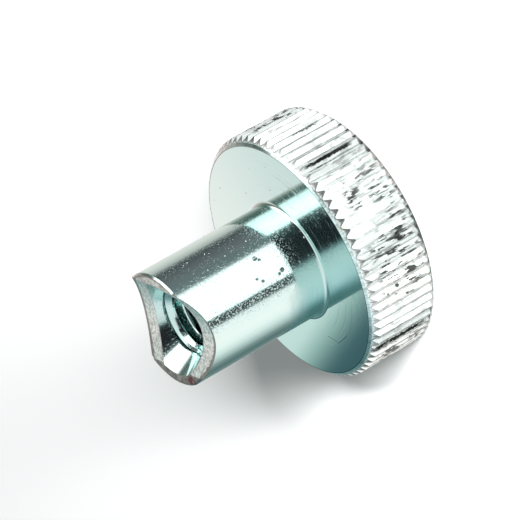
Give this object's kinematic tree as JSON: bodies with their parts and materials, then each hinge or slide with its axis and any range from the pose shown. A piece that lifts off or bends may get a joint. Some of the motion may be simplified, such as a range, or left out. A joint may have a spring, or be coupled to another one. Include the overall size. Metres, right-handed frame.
{
  "type": "knurled nut",
  "caption": "Round adjusting nut: a straight-knurled head, a plain round shank with a saddle across its end, and a tapped hole right through.",
  "frame": {"origin": "centre of the head's outer face, on which the nut stands", "axes": "+Z along the tapped hole towards the saddle, Y along the saddle's groove, X across it"},
  "size_m": [0.0216, 0.0216, 0.019],
  "materials": {
    "zinc_plated_steel": "bright zinc plating with a faint blue passivation over turned steel"
  },
  "bodies": {
    "root": {"knurled_nut": "zinc_plated_steel"}
  },
  "joints": []
}
